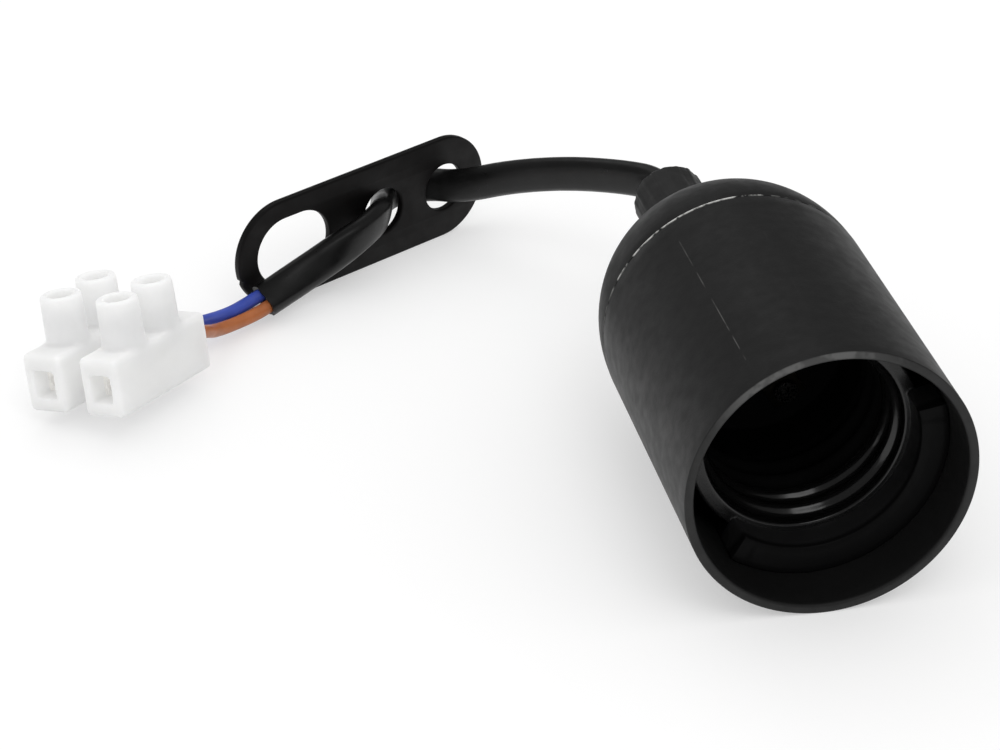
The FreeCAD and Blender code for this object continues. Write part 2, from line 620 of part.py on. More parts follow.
def cords():
    """The free flex and its two cores, outside and inside the holder."""
    plate_front = FreeCAD.Placement(FreeCAD.Vector(dim("plate_x"), dim("plate_y"), 0), PLATE_TURN)
    route = [FreeCAD.Vector(*point) for point in NECK_ROUTE]
    route += [in_row(plate_front, along, up, out) for along, out, up in PLATE_ROUTE]
    flat_cord("FlexSheath", "flex_sheath", route)

    stripped = route[-1]
    ahead = route[-1] - route[-2]
    ahead.normalize()
    upward = FreeCAD.Vector(0, 0, 1)
    mouth = dim("pole_length") / 2 + dim("core_gap")
    copper_level = dim("entry_level") - dim("tube_bore_drop") - dim("tube_bore_radius") + dim("copper_radius")
    for pole, middle, side in (("blue", BLUE_ROUTE, -1), ("brown", BROWN_ROUTE, 1)):
        x_place = side * dim("pole_pitch") / 2
        start = stripped - upward * (side * dim("core_spacing") / 2)
        points = [start, start + ahead * dim("core_lead")] + [FreeCAD.Vector(*point) for point in middle]
        points += [in_row(BLOCK, x_place, mouth, dim("entry_level")),
                   in_row(BLOCK, x_place, dim("tube_length") / 2, copper_level)]
        core_tube(f"{pole.title()}Core", f"{pole}_core", points)

    barrel = dim("rivet_circle") - dim("lug_reach")
    grip_end = dim("skirt_length") + dim("shell_radius") + dim("grip_end_past_dome")
    sleeve_start = grip_end - dim("grip_length") - dim("grip_flange") - dim("flex_tail")
    floor = dim("skirt_length") - dim("seat_from_shoulder") + dim("contact_thickness") + dim("core_gap")
    for pole, angle, side in (("brown", 0, 1), ("blue", 180, -1)):
        turn = math.radians(dim("rivet_angle") + angle)
        foot = (barrel * math.cos(turn), barrel * math.sin(turn))
        level = side * dim("core_spacing") / 2
        inner = [(*foot, floor), (*foot, floor + dim("lug_core_rise")),
                 (0, level, sleeve_start - dim("inner_core_lead")), (0, level, sleeve_start)]
        points = [in_row(HOLDER, *point) for point in inner]
        core_tube(f"Inner{pole.title()}Core", f"inner_{pole}_core", points)


outer_shell()
thread_liner()
contacts()
cord_grip_sleeve()
flex_in_neck()
hanger_plate()
block_housing()
brass_tubes_and_screws()
copper_ends()
cords()
doc.recompute()

faulty = [item.Name for item in doc.Objects if "Invalid" in item.State or "Error" in item.State]
if faulty:
    raise RuntimeError("objects with a fault: " + ", ".join(faulty))
for item in NODES:
    if item.Shape.isNull() or not item.Shape.isValid():
        raise RuntimeError(f"{item.Label} has no valid shape")

os.makedirs("parts", exist_ok=True)
for item in NODES:
    item.Shape.exportStep(f"parts/{item.Label}.step")
print(len(NODES), "nodes written")
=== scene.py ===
"""Dresses the pendant lamp holder: shell, threaded insert, flex, hanging plate, terminal strip."""

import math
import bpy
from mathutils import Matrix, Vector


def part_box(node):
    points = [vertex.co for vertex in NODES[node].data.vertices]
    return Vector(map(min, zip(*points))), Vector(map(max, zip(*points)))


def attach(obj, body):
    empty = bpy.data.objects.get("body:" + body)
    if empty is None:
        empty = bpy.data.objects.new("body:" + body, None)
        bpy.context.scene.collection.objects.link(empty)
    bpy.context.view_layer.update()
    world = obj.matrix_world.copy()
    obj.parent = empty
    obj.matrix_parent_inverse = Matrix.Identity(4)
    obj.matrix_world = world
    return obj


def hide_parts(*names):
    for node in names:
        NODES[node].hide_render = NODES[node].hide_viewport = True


bl_info = {
    "name": "Pendant Lamp Holder",
    "version": (1, 0, 0),
    "blender": (4, 5, 0),
    "location": "3D View > Sidebar > Lamp Holder",
    "description": "Dresses a pendant lamp holder with its flex, hanging plate and terminal strip",
    "category": "Object",
}

import bmesh
import bpy
from bpy.props import FloatProperty, FloatVectorProperty, IntProperty, PointerProperty
from mathutils import Matrix, Vector, noise

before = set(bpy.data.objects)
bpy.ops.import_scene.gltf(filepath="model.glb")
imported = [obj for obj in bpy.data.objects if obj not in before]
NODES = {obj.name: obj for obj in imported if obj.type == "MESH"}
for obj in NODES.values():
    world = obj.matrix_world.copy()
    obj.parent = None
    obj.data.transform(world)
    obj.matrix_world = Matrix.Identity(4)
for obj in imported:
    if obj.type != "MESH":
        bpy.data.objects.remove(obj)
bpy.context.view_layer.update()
SHELL_LOW, SHELL_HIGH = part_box("outer_shell")

# Control points of the flex from the neck to its stripped end: the first route is in the row's
# frame, and the second is along the plate, out from its face, and up.
NECK_ROUTE = [
    (0.0, 0.04115, 0.0193),
    (0.0, 0.0460, 0.0193),
    (-0.0046, 0.0516, 0.0183),
    (-0.0118, 0.0585, 0.0163),
    (-0.0193, 0.0653, 0.0131),
]
PLATE_ROUTE = [
    (0.0176, 0.00355, 0.0093),
    (0.01565, -0.00285, 0.0081),
    (0.0102, -0.0053, 0.0078),
    (0.0062, -0.0033, 0.0075),
    (0.0018, 0.0028, 0.0098),
    (-0.0030, 0.0048, 0.0093),
    (-0.0096, 0.0045, 0.0073),
    (-0.0162, 0.0041, 0.0054),
    (-0.0227, 0.0037, 0.0036),
]
# Middle control points of the two cores, in the row's frame
BLUE_ROUTE = [(-0.06679, 0.04686, 0.00351), (-0.07309, 0.04606, 0.00279), (-0.07779, 0.04478, 0.00434)]
BROWN_ROUTE = [(-0.06835, 0.04330, 0.00305), (-0.07075, 0.03794, 0.00634)]
# Where a core's route ends inside the terminal strip: along its pole and up, in the strip's frame
CORE_ENTRY = (0.01115, 0.0041)
CORE_STOP = (0.0078, 0.00315)
# How far the flex's section leans over, in degrees, at shares of its length
LEAN = [(0.0, 0.0), (0.60, 0.0), (0.70, -12.0), (0.77, -4.0), (0.88, 32.0), (1.0, 55.0)]


# Depth of the shoulder seam from the mouth, and turn of the line where the mould closes
SEAM_DEPTH = 0.0439
MOULD_LINE = 2.143


def length(name, description, default):
    """A size in metres, shown in the scene's own units."""
    return FloatProperty(name=name, description=description, default=default, unit="LENGTH", precision=5)


def angle(name, description, degrees):
    return FloatProperty(name=name, description=description, default=math.radians(degrees), subtype="ANGLE")


def colour(name, description, default):
    return FloatVectorProperty(name=name, description=description, default=default, size=3, min=0.0, max=1.0,
                               subtype="COLOR")


class HolderSizes(bpy.types.PropertyGroup):
    """Sizes of the shell, its neck and the threaded insert."""

    radius: length("Shell radius", "Outside radius of the skirt", (SHELL_HIGH.x - SHELL_LOW.x) / 2)
    reach: length("Holder length", "From the mouth to the end of the neck", SHELL_HIGH.y - SHELL_LOW.y)
    wall: length("Shell wall", "Wall of the skirt", 0.0013)
    skirt: length("Skirt length", "From the mouth to the shoulder", 0.044)
    seat: length("Seat depth", "Depth at which the insert's flange seats", 0.039)
    rim_round: length("Rim rounding", "Rounding of the mouth's edge", 0.00018)
    neck: length("Neck radius", "Radius between the neck's ridges", 0.00535)
    neck_ridge: length("Neck ridge", "How proud the ridges on the neck stand", 0.00015)
    dome: length("Dome height", "From the shoulder to the top of the full dome", 0.0207)
    neck_ridges: IntProperty(name="Neck ridges", description="Ridges round the neck", default=18, min=3)
    pocket: length("Grip pocket radius", "Radius of the pocket that holds the grip sleeve", 0.0038)
    pocket_start: length("Grip pocket start", "Depth at which the neck's pocket begins", 0.0612)
    pocket_end: length("Grip pocket end", "Depth at which the neck's pocket ends", 0.0650)
    lip_depth: length("Lip depth", "Depth of the insert's front lip", 0.0123)
    lip: length("Lip radius", "Inner radius of the lip and of the thread's grooves", 0.0134)
    crest: length("Crest radius", "Radius of the thread's ridges", 0.0123)
    pitch: length("Thread pitch", "Advance of the thread in one turn", 0.00363)
    crest_start: length("Thread start", "Depth of a ridge on the holder's right side", 0.0146)
    sleeve: length("Sleeve radius", "Outside radius of the threaded sleeve", 0.0156)
    well: length("Well radius", "Radius of the plain wall behind the thread", 0.0129)
    thread_end: length("Thread end", "Depth at which the thread has run out", 0.0293)
    floor: length("Floor depth", "Depth of the insert's floor", 0.0363)
    ledge_depth: length("Ledge depth", "Depth of the part-ring ledge", 0.008)
    ledge_inner: length("Ledge inner radius", "Radius of the wall between lip and ledge", 0.0143)
    ledge_outer: length("Ledge outer radius", "Outer radius of the ledge", 0.01788)
    ledge_start: angle("Ledge start", "Where the ledge begins, round the axis from the right", -128)
    ledge_end: angle("Ledge end", "Where the ledge ends, round the axis from the right", 20)


class FlexSizes(bpy.types.PropertyGroup):
    """Sizes of the flat flex and its cores."""

    width: length("Flex width", "Across the two cores", 0.0054)
    thickness: length("Flex thickness", "Across one core", 0.0033)
    length: length("Flex length", "Along the middle, from the neck to the stripped end", 0.092)
    lean: FloatProperty(name="Flex lean", description="How much of its lean the flex takes", default=1.0)
    core: length("Core radius", "Radius of an insulated core", 0.001)
    core_spacing: length("Core spacing", "Between the middles of the two cores", 0.0022)
    core_lead: length("Core lead", "Straight stretch of a core past the stripped end", 0.0025)


class PlateSizes(bpy.types.PropertyGroup):
    """Sizes and place of the hanging plate."""

    length: length("Plate length", "End to end", 0.0494)
    width: length("Plate width", "Edge to edge", 0.017)
    thickness: length("Plate thickness", "Face to face", 0.0013)
    edge: length("Edge rounding", "Rounding of every edge", 0.00032)
    x: length("Plate X", "Middle of the plate along X", -0.0426)
    y: length("Plate Y", "Middle of the plate along Y", 0.065)
    yaw: angle("Plate turn", "Turn about the vertical", 30.8)
    cord_hole: length("Flex hole radius", "Radius of the two flex holes", 0.00385)
    outer_hole: length("Outer hole", "Outer flex hole, along the plate", 0.0165)
    inner_hole: length("Inner hole", "Inner flex hole, along the plate", 0.0039)
    hook_length: length("Hook hole length", "Long hole for a hook, along the plate", 0.014)
    hook_width: length("Hook hole width", "Long hole for a hook, across the plate", 0.0108)
    hook_offset: length("Hook hole offset", "Middle of the long hole, along the plate", -0.014)


class BlockSizes(bpy.types.PropertyGroup):
    """Place and grain of the terminal strip."""

    x: length("Block X", "Middle of the block's base along X", -0.0834)
    y: length("Block Y", "Middle of the block's base along Y", 0.0298)
    z: length("Block Z", "Height of the middle of its base", 0.00274)
    yaw: angle("Block turn", "Turn about the vertical", -40.2)
    pitch: angle("Block pitch", "Tilt along its width", -11.1)
    roll: angle("Block roll", "Tilt along its length", -6.1)
    pole: length("Pole offset", "From the middle to each pole", 0.005)
    grain: length("Remesh size", "Size of the faces of the softened housing", 0.00027)
    softness: IntProperty(name="Softness", description="Smoothing passes over the housing", default=6, min=0)


class Finishes(bpy.types.PropertyGroup):
    """Base colours of the finishes."""

    shell: colour("Shell", "Matt moulded black", (0.0072, 0.0072, 0.0072))
    liner: colour("Insert", "Glossy moulded black", (0.0030, 0.0030, 0.0031))
    plate: colour("Plate", "Satin moulded black", (0.0042, 0.0037, 0.0037))
    flex: colour("Flex", "Soft black cover", (0.0034, 0.0034, 0.0034))
    blue: colour("Blue core", "Blue insulation", (0.042, 0.075, 0.40))
    brown: colour("Brown core", "Brown insulation", (0.46, 0.145, 0.045))
    milky: colour("Terminal strip", "Milky plastic", (0.69, 0.69, 0.688))
    tube: colour("Tube", "Plated brass tubes", (0.62, 0.605, 0.57))
    # Contact strips and rivets are made this dark as painted shade, for the shade deep in the socket
    contact: colour("Contact", "Contact strips dark with age", (0.030, 0.026, 0.020))
    rivet: colour("Rivet", "Dark tumbled rivets", (0.080, 0.078, 0.075))
    steel: colour("Steel", "Plated screws and lugs", (0.56, 0.55, 0.53))
    copper: colour("Copper", "Bare strands", (0.80, 0.38, 0.20))


class StageLight(bpy.types.PropertyGroup):
    """Light and floor round the object."""

    sky: FloatProperty(name="Sky", description="Strength of the even light from all round",
                       default=0.92, min=0.0)
    sheen: FloatProperty(name="Sheen", description="Strength of the surroundings in reflections",
                         default=0.25, min=0.0)
    key: FloatProperty(name="Key lamp", description="Power of the soft lamp above the mouth", default=0.45,
                       min=0.0, subtype="POWER", unit="POWER")
    back: FloatProperty(name="Back lamp", description="Power of the soft lamp behind", default=0.2,
                        min=0.0, subtype="POWER", unit="POWER")
    floor: FloatProperty(name="Floor glow", description="Light that the floor adds to its own picture",
                         default=0.40, min=0.0)
    paper: colour("Floor", "Colour of the floor", (0.62, 0.62, 0.62))


class Finish:
    """A principled material with a few helpers for its procedural detail."""

    def __init__(self, name, base, roughness, metallic=0.0, specular=0.5):
        self.material = bpy.data.materials.new(name)
        self.material.use_nodes = True
        self.tree = self.material.node_tree
        self.tree.nodes.clear()
        output = self.tree.nodes.new("ShaderNodeOutputMaterial")
        self.shader = self.tree.nodes.new("ShaderNodeBsdfPrincipled")
        self.tree.links.new(self.shader.outputs["BSDF"], output.inputs["Surface"])
        self.base = (*base, 1.0)
        self.shader.inputs["Base Color"].default_value = self.base
        self.shader.inputs["Roughness"].default_value = roughness
        self.shader.inputs["Metallic"].default_value = metallic
        self.shader.inputs["Specular IOR Level"].default_value = specular
        self.place = self.tree.nodes.new("ShaderNodeTexCoord").outputs["Object"]

    def node(self, kind, inputs=None, **settings):
        made = self.tree.nodes.new(kind)
        for key, value in settings.items():
            setattr(made, key, value)
        for key, value in (inputs or {}).items():
            if isinstance(value, bpy.types.NodeSocket):
                self.tree.links.new(value, made.inputs[key])
            else:
                made.inputs[key].default_value = value
        return made

    def noise(self, scale, detail=3.0, stretch=None, seed=0.0):
        """Soft noise; scale is in features per metre."""
        place = self.place
        if stretch or seed:
            place = self.node("ShaderNodeMapping", {"Vector": place, "Location": (seed, seed * 0.7, -seed),
                                                    "Scale": stretch or (1, 1, 1)}).outputs["Vector"]
        made = self.node("ShaderNodeTexNoise", {"Vector": place, "Scale": scale, "Detail": detail})
        return made.outputs["Fac"]

    def span(self, value, low, high, to_low=0.0, to_high=1.0):
        made = self.node("ShaderNodeMapRange", {
            "Value": value, "From Min": low, "From Max": high, "To Min": to_low, "To Max": to_high})
        return made.outputs["Result"]

    def math(self, operation, a, b=0.0, c=0.0):
        return self.node("ShaderNodeMath", {0: a, 1: b, 2: c}, operation=operation).outputs["Value"]

    def away(self, value, middle):
        """How far a value is from a middle."""
        return self.math("ABSOLUTE", self.math("SUBTRACT", value, middle))

    def mix(self, factor, a, b):
        """Between two colours; the numbers are the node's sockets for a factor and two colours."""
        return self.node("ShaderNodeMix", {0: factor, 6: a, 7: b}, data_type="RGBA").outputs[2]

    def colour(self, value):
        self.tree.links.new(value, self.shader.inputs["Base Color"])

    def rough(self, value):
        self.tree.links.new(value, self.shader.inputs["Roughness"])

    def gloss(self, value):
        self.tree.links.new(value, self.shader.inputs["Specular IOR Level"])

    def bump(self, height, distance, strength=1.0):
        normal = self.shader.inputs["Normal"]
        inputs = {"Height": height, "Distance": distance, "Strength": strength}
        if normal.is_linked:
            inputs["Normal"] = normal.links[0].from_socket
        self.tree.links.new(self.node("ShaderNodeBump", inputs).outputs["Normal"], normal)

    def grey(self, level):
        """The base colour, lighter or darker."""
        return tuple(min(1.0, channel * level) for channel in self.base[:3]) + (1.0,)


def axis_depth(finish, mouth):
    """Depth from the mouth and turn about the holder's axis, as sockets."""
    parts = finish.node("ShaderNodeSeparateXYZ", {"Vector": finish.place})
    depth = finish.math("SUBTRACT", parts.outputs["Y"], mouth)
    rise = finish.math("SUBTRACT", parts.outputs["Z"], SHELL_HIGH.x)
    turn = finish.math("ARCTAN2", rise, parts.outputs["X"])
    return depth, turn


def band(finish, value, middle, half_width):
    """1 in the middle of a band and 0 at its edges."""
    return finish.span(finish.away(value, middle), 0.0, half_width, 1.0, 0.0)


def shell_finish(base):
    finish = Finish("matt_shell", base, 0.52, specular=0.34)
    depth, turn = axis_depth(finish, SHELL_LOW.y)
    cloud = finish.noise(60, 3.0)
    colour_now = finish.mix(finish.span(cloud, 0.3, 0.75), finish.grey(0.9), finish.grey(1.15))
    # Fine rubbed specks along the skirt
    rub = finish.noise(1100, 2.0, stretch=(1.0, 0.15, 1.0), seed=0.31)
    colour_now = finish.mix(finish.span(rub, 0.68, 0.80, 0.0, 0.3), colour_now, finish.grey(3.0))
    # Pale line on the torn flash along the shoulder seam: a painted highlight, strongest on the upper left
    # where the light falls
    torn = finish.span(finish.noise(700, 4.0, seed=0.17), 0.44, 0.56)
    seam = finish.math("MULTIPLY", band(finish, depth, SEAM_DEPTH, 0.00024), torn)
    seam_side = finish.span(finish.away(turn, 2.1), 0.42, 0.75, 1.0, 0.12)
    seam = finish.math("MINIMUM", finish.math("MULTIPLY", finish.math("MULTIPLY", seam, seam_side), 1.6), 1.0)
    colour_now = finish.mix(seam, colour_now, (0.60, 0.60, 0.58, 1.0))
    # Thin broken pale line on the rim's upper left edge: a painted highlight where the light falls
    patchy = finish.span(finish.noise(520, 2.0, seed=0.53), 0.40, 0.55, 0.45, 1.0)
    edge = finish.math("MULTIPLY", band(finish, depth, 0.0, 0.00014), patchy)
    top_side = finish.span(finish.away(turn, 1.83), 0.35, 0.75, 0.8, 0.05)
    colour_now = finish.mix(finish.math("MULTIPLY", edge, top_side), colour_now, (0.12, 0.12, 0.118, 1.0))
    # Broken pale line where the mould closes
    dashes = finish.span(finish.noise(260, 2.0, stretch=(0.2, 1.0, 0.2), seed=0.77), 0.40, 0.56)
    line = finish.math("MULTIPLY", band(finish, turn, MOULD_LINE, 0.0050), dashes)
    line = finish.math("MULTIPLY", line, finish.span(depth, 0.0375, 0.0385, 1.0, 0.0))
    line = finish.math("MULTIPLY", line, finish.span(depth, 0.0050, 0.0062, 0.0, 1.0))
    colour_now = finish.mix(finish.math("MULTIPLY", line, 0.36), colour_now, (0.25, 0.25, 0.24, 1.0))
    # The neck is a shade lighter
    neck = finish.span(depth, 0.0605, 0.0625)
    finish.colour(finish.mix(neck, colour_now, finish.grey(2.0)))
    finish.rough(finish.span(finish.noise(500, 3.0, seed=0.05), 0.3, 0.7, 0.48, 0.58))
    finish.bump(finish.noise(3200, 3.0), 0.00003, 0.45)
    finish.bump(finish.noise(220, 2.0, seed=0.41), 0.00008, 0.08)
    return finish.material


def liner_finish(base):
    """Glossy in the thread, duller on the lip and ledge, and dull down in the well; the wall from the ledge
    up to the lip, and partly the lip, are painted paler as painted light, and the ledge keeps a plain dark
    tone.
    """
    finish = Finish("glossy_insert", base, 0.2)
    depth, _ = axis_depth(finish, SHELL_LOW.y)
    cloud = finish.noise(120, 4.0, seed=0.3)
    front = finish.span(depth, 0.0119, 0.0125, 1.0, 0.0)
    wall = finish.span(depth, 0.0084, 0.0092)
    tone = finish.mix(finish.span(cloud, 0.35, 0.7), finish.grey(0.8), finish.grey(1.5))
    # Painted light: the wall from the ledge up to the lip is painted at three to five times the base colour,
    # and the lip's face a third of the way
    pale = finish.mix(finish.span(cloud, 0.35, 0.7), finish.grey(3.2), finish.grey(4.6))
    pale = finish.mix(wall, finish.grey(1.1), pale)
    finish.colour(finish.mix(front, tone, pale))
    fine = finish.span(finish.noise(650, 4.0, seed=0.2), 0.3, 0.75, 0.12, 0.22)
    deep = finish.span(depth, 0.0195, 0.0212, 0.0, 0.6)
    finish.rough(finish.math("ADD", finish.math("ADD", fine, deep), finish.math("MULTIPLY", front, 0.27)))
    shine = finish.span(depth, 0.0180, 0.0208, 0.5, 0.05)
    dull = finish.math("SUBTRACT", 0.43, finish.math("MULTIPLY", wall, 0.17))
    finish.gloss(finish.math("SUBTRACT", shine, finish.math("MULTIPLY", front, dull)))
    finish.bump(finish.noise(900, 2.0), 0.00003, 0.3)
    finish.bump(finish.noise(150, 2.0, seed=0.9), 0.0001, 0.2)
    return finish.material


def plate_finish(base):
    finish = Finish("satin_plate", base, 0.5, specular=0.16)
    cloud = finish.noise(90, 4.0, seed=0.6)
    tone = finish.mix(finish.span(cloud, 0.3, 0.7), finish.grey(0.8), finish.grey(1.5))
    scuff = finish.noise(700, 3.0, stretch=(0.25, 0.25, 1.0), seed=0.12)
    finish.colour(finish.mix(finish.span(scuff, 0.66, 0.8, 0.0, 0.3), tone, finish.grey(4.0)))
    finish.rough(finish.span(finish.noise(420, 3.0), 0.3, 0.7, 0.42, 0.58))
    finish.bump(finish.noise(2600, 3.0), 0.00003, 0.4)
    finish.bump(finish.noise(200, 2.0, seed=0.8), 0.0001, 0.3)
    return finish.material


def flex_finish(base):
    finish = Finish("soft_flex_cover", base, 0.36, specular=0.36)
    cloud = finish.noise(110, 3.0, seed=0.4)
    tone = finish.mix(finish.span(cloud, 0.3, 0.7), finish.grey(0.8), finish.grey(1.6))
    dust = finish.noise(1500, 2.0, seed=0.35)
    finish.colour(finish.mix(finish.span(dust, 0.70, 0.80, 0.0, 0.3), tone, finish.grey(5.0)))
    finish.rough(finish.span(finish.noise(500, 3.0), 0.3, 0.7, 0.27, 0.42))
    finish.bump(finish.noise(1700, 3.0), 0.00003, 0.45)
    finish.bump(finish.noise(230, 2.0, seed=0.15), 0.00012, 0.3)
    return finish.material


def core_finish(name, base):
    finish = Finish(name, base, 0.36, specular=0.45)
    finish.shader.inputs["Subsurface Weight"].default_value = 0.12
    finish.shader.inputs["Subsurface Radius"].default_value = (0.0006, 0.0005, 0.0005)
    tone = finish.mix(finish.span(finish.noise(260, 3.0), 0.3, 0.7), finish.grey(0.86), finish.grey(1.14))
    finish.colour(tone)
    finish.rough(finish.span(finish.noise(700, 2.0), 0.3, 0.7, 0.3, 0.44))
    finish.bump(finish.noise(1500, 2.0), 0.00003, 0.4)
    return finish.material


def milky_finish(base):
    finish = Finish("milky_strip", base, 0.42, specular=0.36)
    finish.shader.inputs["Subsurface Weight"].default_value = 1.0
    finish.shader.inputs["Subsurface Radius"].default_value = (0.0042, 0.0042, 0.0040)
    finish.shader.inputs["Subsurface Scale"].default_value = 1.0
    # Painted glow: the strip gives off light of its own, standing in for light that comes through its thin
    # walls
    finish.shader.inputs["Emission Color"].default_value = (1.0, 1.0, 1.0, 1.0)
    finish.shader.inputs["Emission Strength"].default_value = 0.16
    tone = finish.mix(finish.span(finish.noise(150, 3.0), 0.3, 0.7), finish.grey(0.96), finish.grey(1.04))
    finish.colour(tone)
    finish.rough(finish.span(finish.noise(500, 3.0, seed=0.2), 0.3, 0.7, 0.34, 0.48))
    finish.bump(finish.noise(600, 3.0), 0.00004, 0.35)
    return finish.material


def metal_finish(name, base, roughness, drawn=(1.0, 1.0, 1.0), glow=0.0):
    """Bare metal; glow is painted light, an emission that stands in for the light that reaches it through
    milky walls.
    """
    finish = Finish(name, base, roughness, metallic=1.0)
    finish.shader.inputs["Emission Color"].default_value = (1.0, 1.0, 1.0, 1.0)
    finish.shader.inputs["Emission Strength"].default_value = glow
    tone = finish.mix(finish.span(finish.noise(600, 4.0), 0.3, 0.7), finish.grey(0.7), finish.grey(1.12))
    finish.colour(tone)
    marks = finish.noise(2600, 3.0, stretch=drawn, seed=0.3)
    finish.rough(finish.span(marks, 0.3, 0.7, roughness - 0.08, roughness + 0.12))
    finish.bump(marks, 0.00002, 0.4)
    return finish.material


def grip_finish(base):
    finish = Finish("grip_plastic", base, 0.5, specular=0.35)
    finish.colour(finish.mix(finish.noise(300), finish.grey(0.9), finish.grey(1.7)))
    finish.bump(finish.noise(2400), 0.00003, 0.4)
    return finish.material


def finished(name, mesh, body, nodes, material, sharp=35.0):
    """A piece in place of its CAD nodes, riding on their body."""
    obj = bpy.data.objects.new(name, mesh)
    bpy.context.scene.collection.objects.link(obj)
    mesh.materials.clear()
    mesh.materials.append(material)
    mesh.polygons.foreach_set("use_smooth", [True] * len(mesh.polygons))
    mesh.set_sharp_from_angle(angle=math.radians(sharp))
    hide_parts(*nodes)
    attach(obj, body)
    return obj


def coat(material, *nodes):
    """Gives CAD nodes that stay their finish."""
    for name in nodes:
        mesh = NODES[name].data
        mesh.materials.clear()
        mesh.materials.append(material)


def mesh_of(name, maker):
    bm = bmesh.new()
    maker(bm)
    bmesh.ops.recalc_face_normals(bm, faces=bm.faces)
    mesh = bpy.data.meshes.new(name)
    bm.to_mesh(mesh)
    bm.free()
    return mesh


def turned(bm, turns, profile_at, place):
    """A skin through one profile at each turn; a profile end on the axis becomes one point."""
    rows = []
    poles = {}
    for turn in turns:
        row = []
        profile = profile_at(turn)
        for index, (radius, depth) in enumerate(profile):
            if radius < 1e-7:
                if index not in poles:
                    poles[index] = bm.verts.new(place(turn, 0.0, depth))
                row.append(poles[index])
            else:
                row.append(bm.verts.new(place(turn, radius, depth)))
        rows.append(row)
    closed = not poles
    for row, after in zip(rows, rows[1:] + rows[:1]):
        count = len(row)
        for index in range(count if closed else count - 1):
            ahead = (index + 1) % count
            corners = []
            for vert in (row[index], row[ahead], after[ahead], after[index]):
                if vert not in corners:
                    corners.append(vert)
            bm.faces.new(corners)


def bend(middle, radius, start, end, steps):
    """Points of a rounding; the angles are in degrees from the radial direction to the inward one."""
    found = []
    for step in range(steps + 1):
        at = math.radians(start + (end - start) * step / steps)
        found.append((middle[0] + radius * math.cos(at), middle[1] + radius * math.sin(at)))
    return found


def run(start, end, steps):
    """Points between two profile points, without the first."""
    return [(start[0] + (end[0] - start[0]) * step / steps, start[1] + (end[1] - start[1]) * step / steps)
            for step in range(1, steps + 1)]


def ease(value):
    value = min(1.0, max(0.0, value))
    return value * value * (3 - 2 * value)


def route_line(name, points):
    """The points of a smooth spline whose control points are the route's."""
    curve = bpy.data.curves.new(name, "CURVE")
    curve.dimensions = "3D"
    curve.resolution_u = 24
    spline = curve.splines.new("NURBS")
    spline.points.add(len(points) - 1)
    for control, point in zip(spline.points, points):
        control.co = (*point, 1.0)
    spline.order_u = 3
    spline.use_endpoint_u = True
    holder = bpy.data.objects.new(name, curve)
    mesh = bpy.data.meshes.new_from_object(holder)
    line = [vert.co.copy() for vert in mesh.vertices]
    bpy.data.objects.remove(holder)
    bpy.data.curves.remove(curve)
    bpy.data.meshes.remove(mesh)
    kept = [line[0]]
    for point in line[1:]:
        if (point - kept[-1]).length > 2e-5:
            kept.append(point)
    return kept


def travelled(line):
    """How far each point lies along the line."""
    found = [0.0]
    for here, after in zip(line, line[1:]):
        found.append(found[-1] + (after - here).length)
    return found


def headings(line):
    found = []
    for index in range(len(line)):
        before = line[max(index - 1, 0)]
        after = line[min(index + 1, len(line) - 1)]
        found.append((after - before).normalized())
    return found


def cross_section(heading, lean):
    """Across and up directions of a section that leans about its heading."""
    side = Vector((0, 0, 1)).cross(heading).normalized()
    up = heading.cross(side).normalized()
    turn = Matrix.Rotation(lean, 3, heading)
    return turn @ side, turn @ up


def tube(bm, rings):
    """A skin through closed rings, with flat ends."""
    rows = [[bm.verts.new(point) for point in ring] for ring in rings]
    for row, after in zip(rows, rows[1:]):
        count = len(row)
        for index in range(count):
            ahead = (index + 1) % count
            bm.faces.new((row[index], row[ahead], after[ahead], after[index]))
    bm.faces.new(rows[0])
    bm.faces.new(rows[-1])


def holder_place(turn, radius, depth):
    """A point of the holder, from its turn about the axis, its radius and its depth."""
    middle = SHELL_HIGH.x
    return Vector((radius * math.cos(turn), SHELL_LOW.y + depth, middle + radius * math.sin(turn)))


def plate_frame(sizes):
    """Matrix from the plate's own frame: along it, up, and out from its face."""
    along = Vector((math.cos(sizes.yaw), math.sin(sizes.yaw), 0))
    out = Vector((math.sin(sizes.yaw), -math.cos(sizes.yaw), 0))
    matrix = Matrix.Identity(4)
    for column, direction in enumerate((along, Vector((0, 0, 1)), out)):
        for line in range(3):
            matrix[line][column] = direction[line]
    matrix.translation = Vector((sizes.x, sizes.y, 0))
    return matrix


def block_frame(sizes):
    turn = (Matrix.Rotation(sizes.yaw, 4, "Z") @ Matrix.Rotation(sizes.pitch, 4, "Y")
            @ Matrix.Rotation(sizes.roll, 4, "X"))
    return Matrix.Translation((sizes.x, sizes.y, sizes.z)) @ turn


def lean_along(share, lean):
    """Lean of the section: upright up to the second hole, then twisting over."""
    for (start, low), (end, high) in zip(LEAN, LEAN[1:]):
        if share <= end:
            return math.radians(low + (high - low) * ease((share - start) / (end - start))) * lean
    return math.radians(LEAN[-1][1]) * lean


def flex_line(scene):
    plate = plate_frame(scene.plate_sizes)
    route = [Vector(point) for point in NECK_ROUTE]
    route += [plate @ Vector((along, up, out)) for along, out, up in PLATE_ROUTE]
    return route_line("FlexRoute", route)


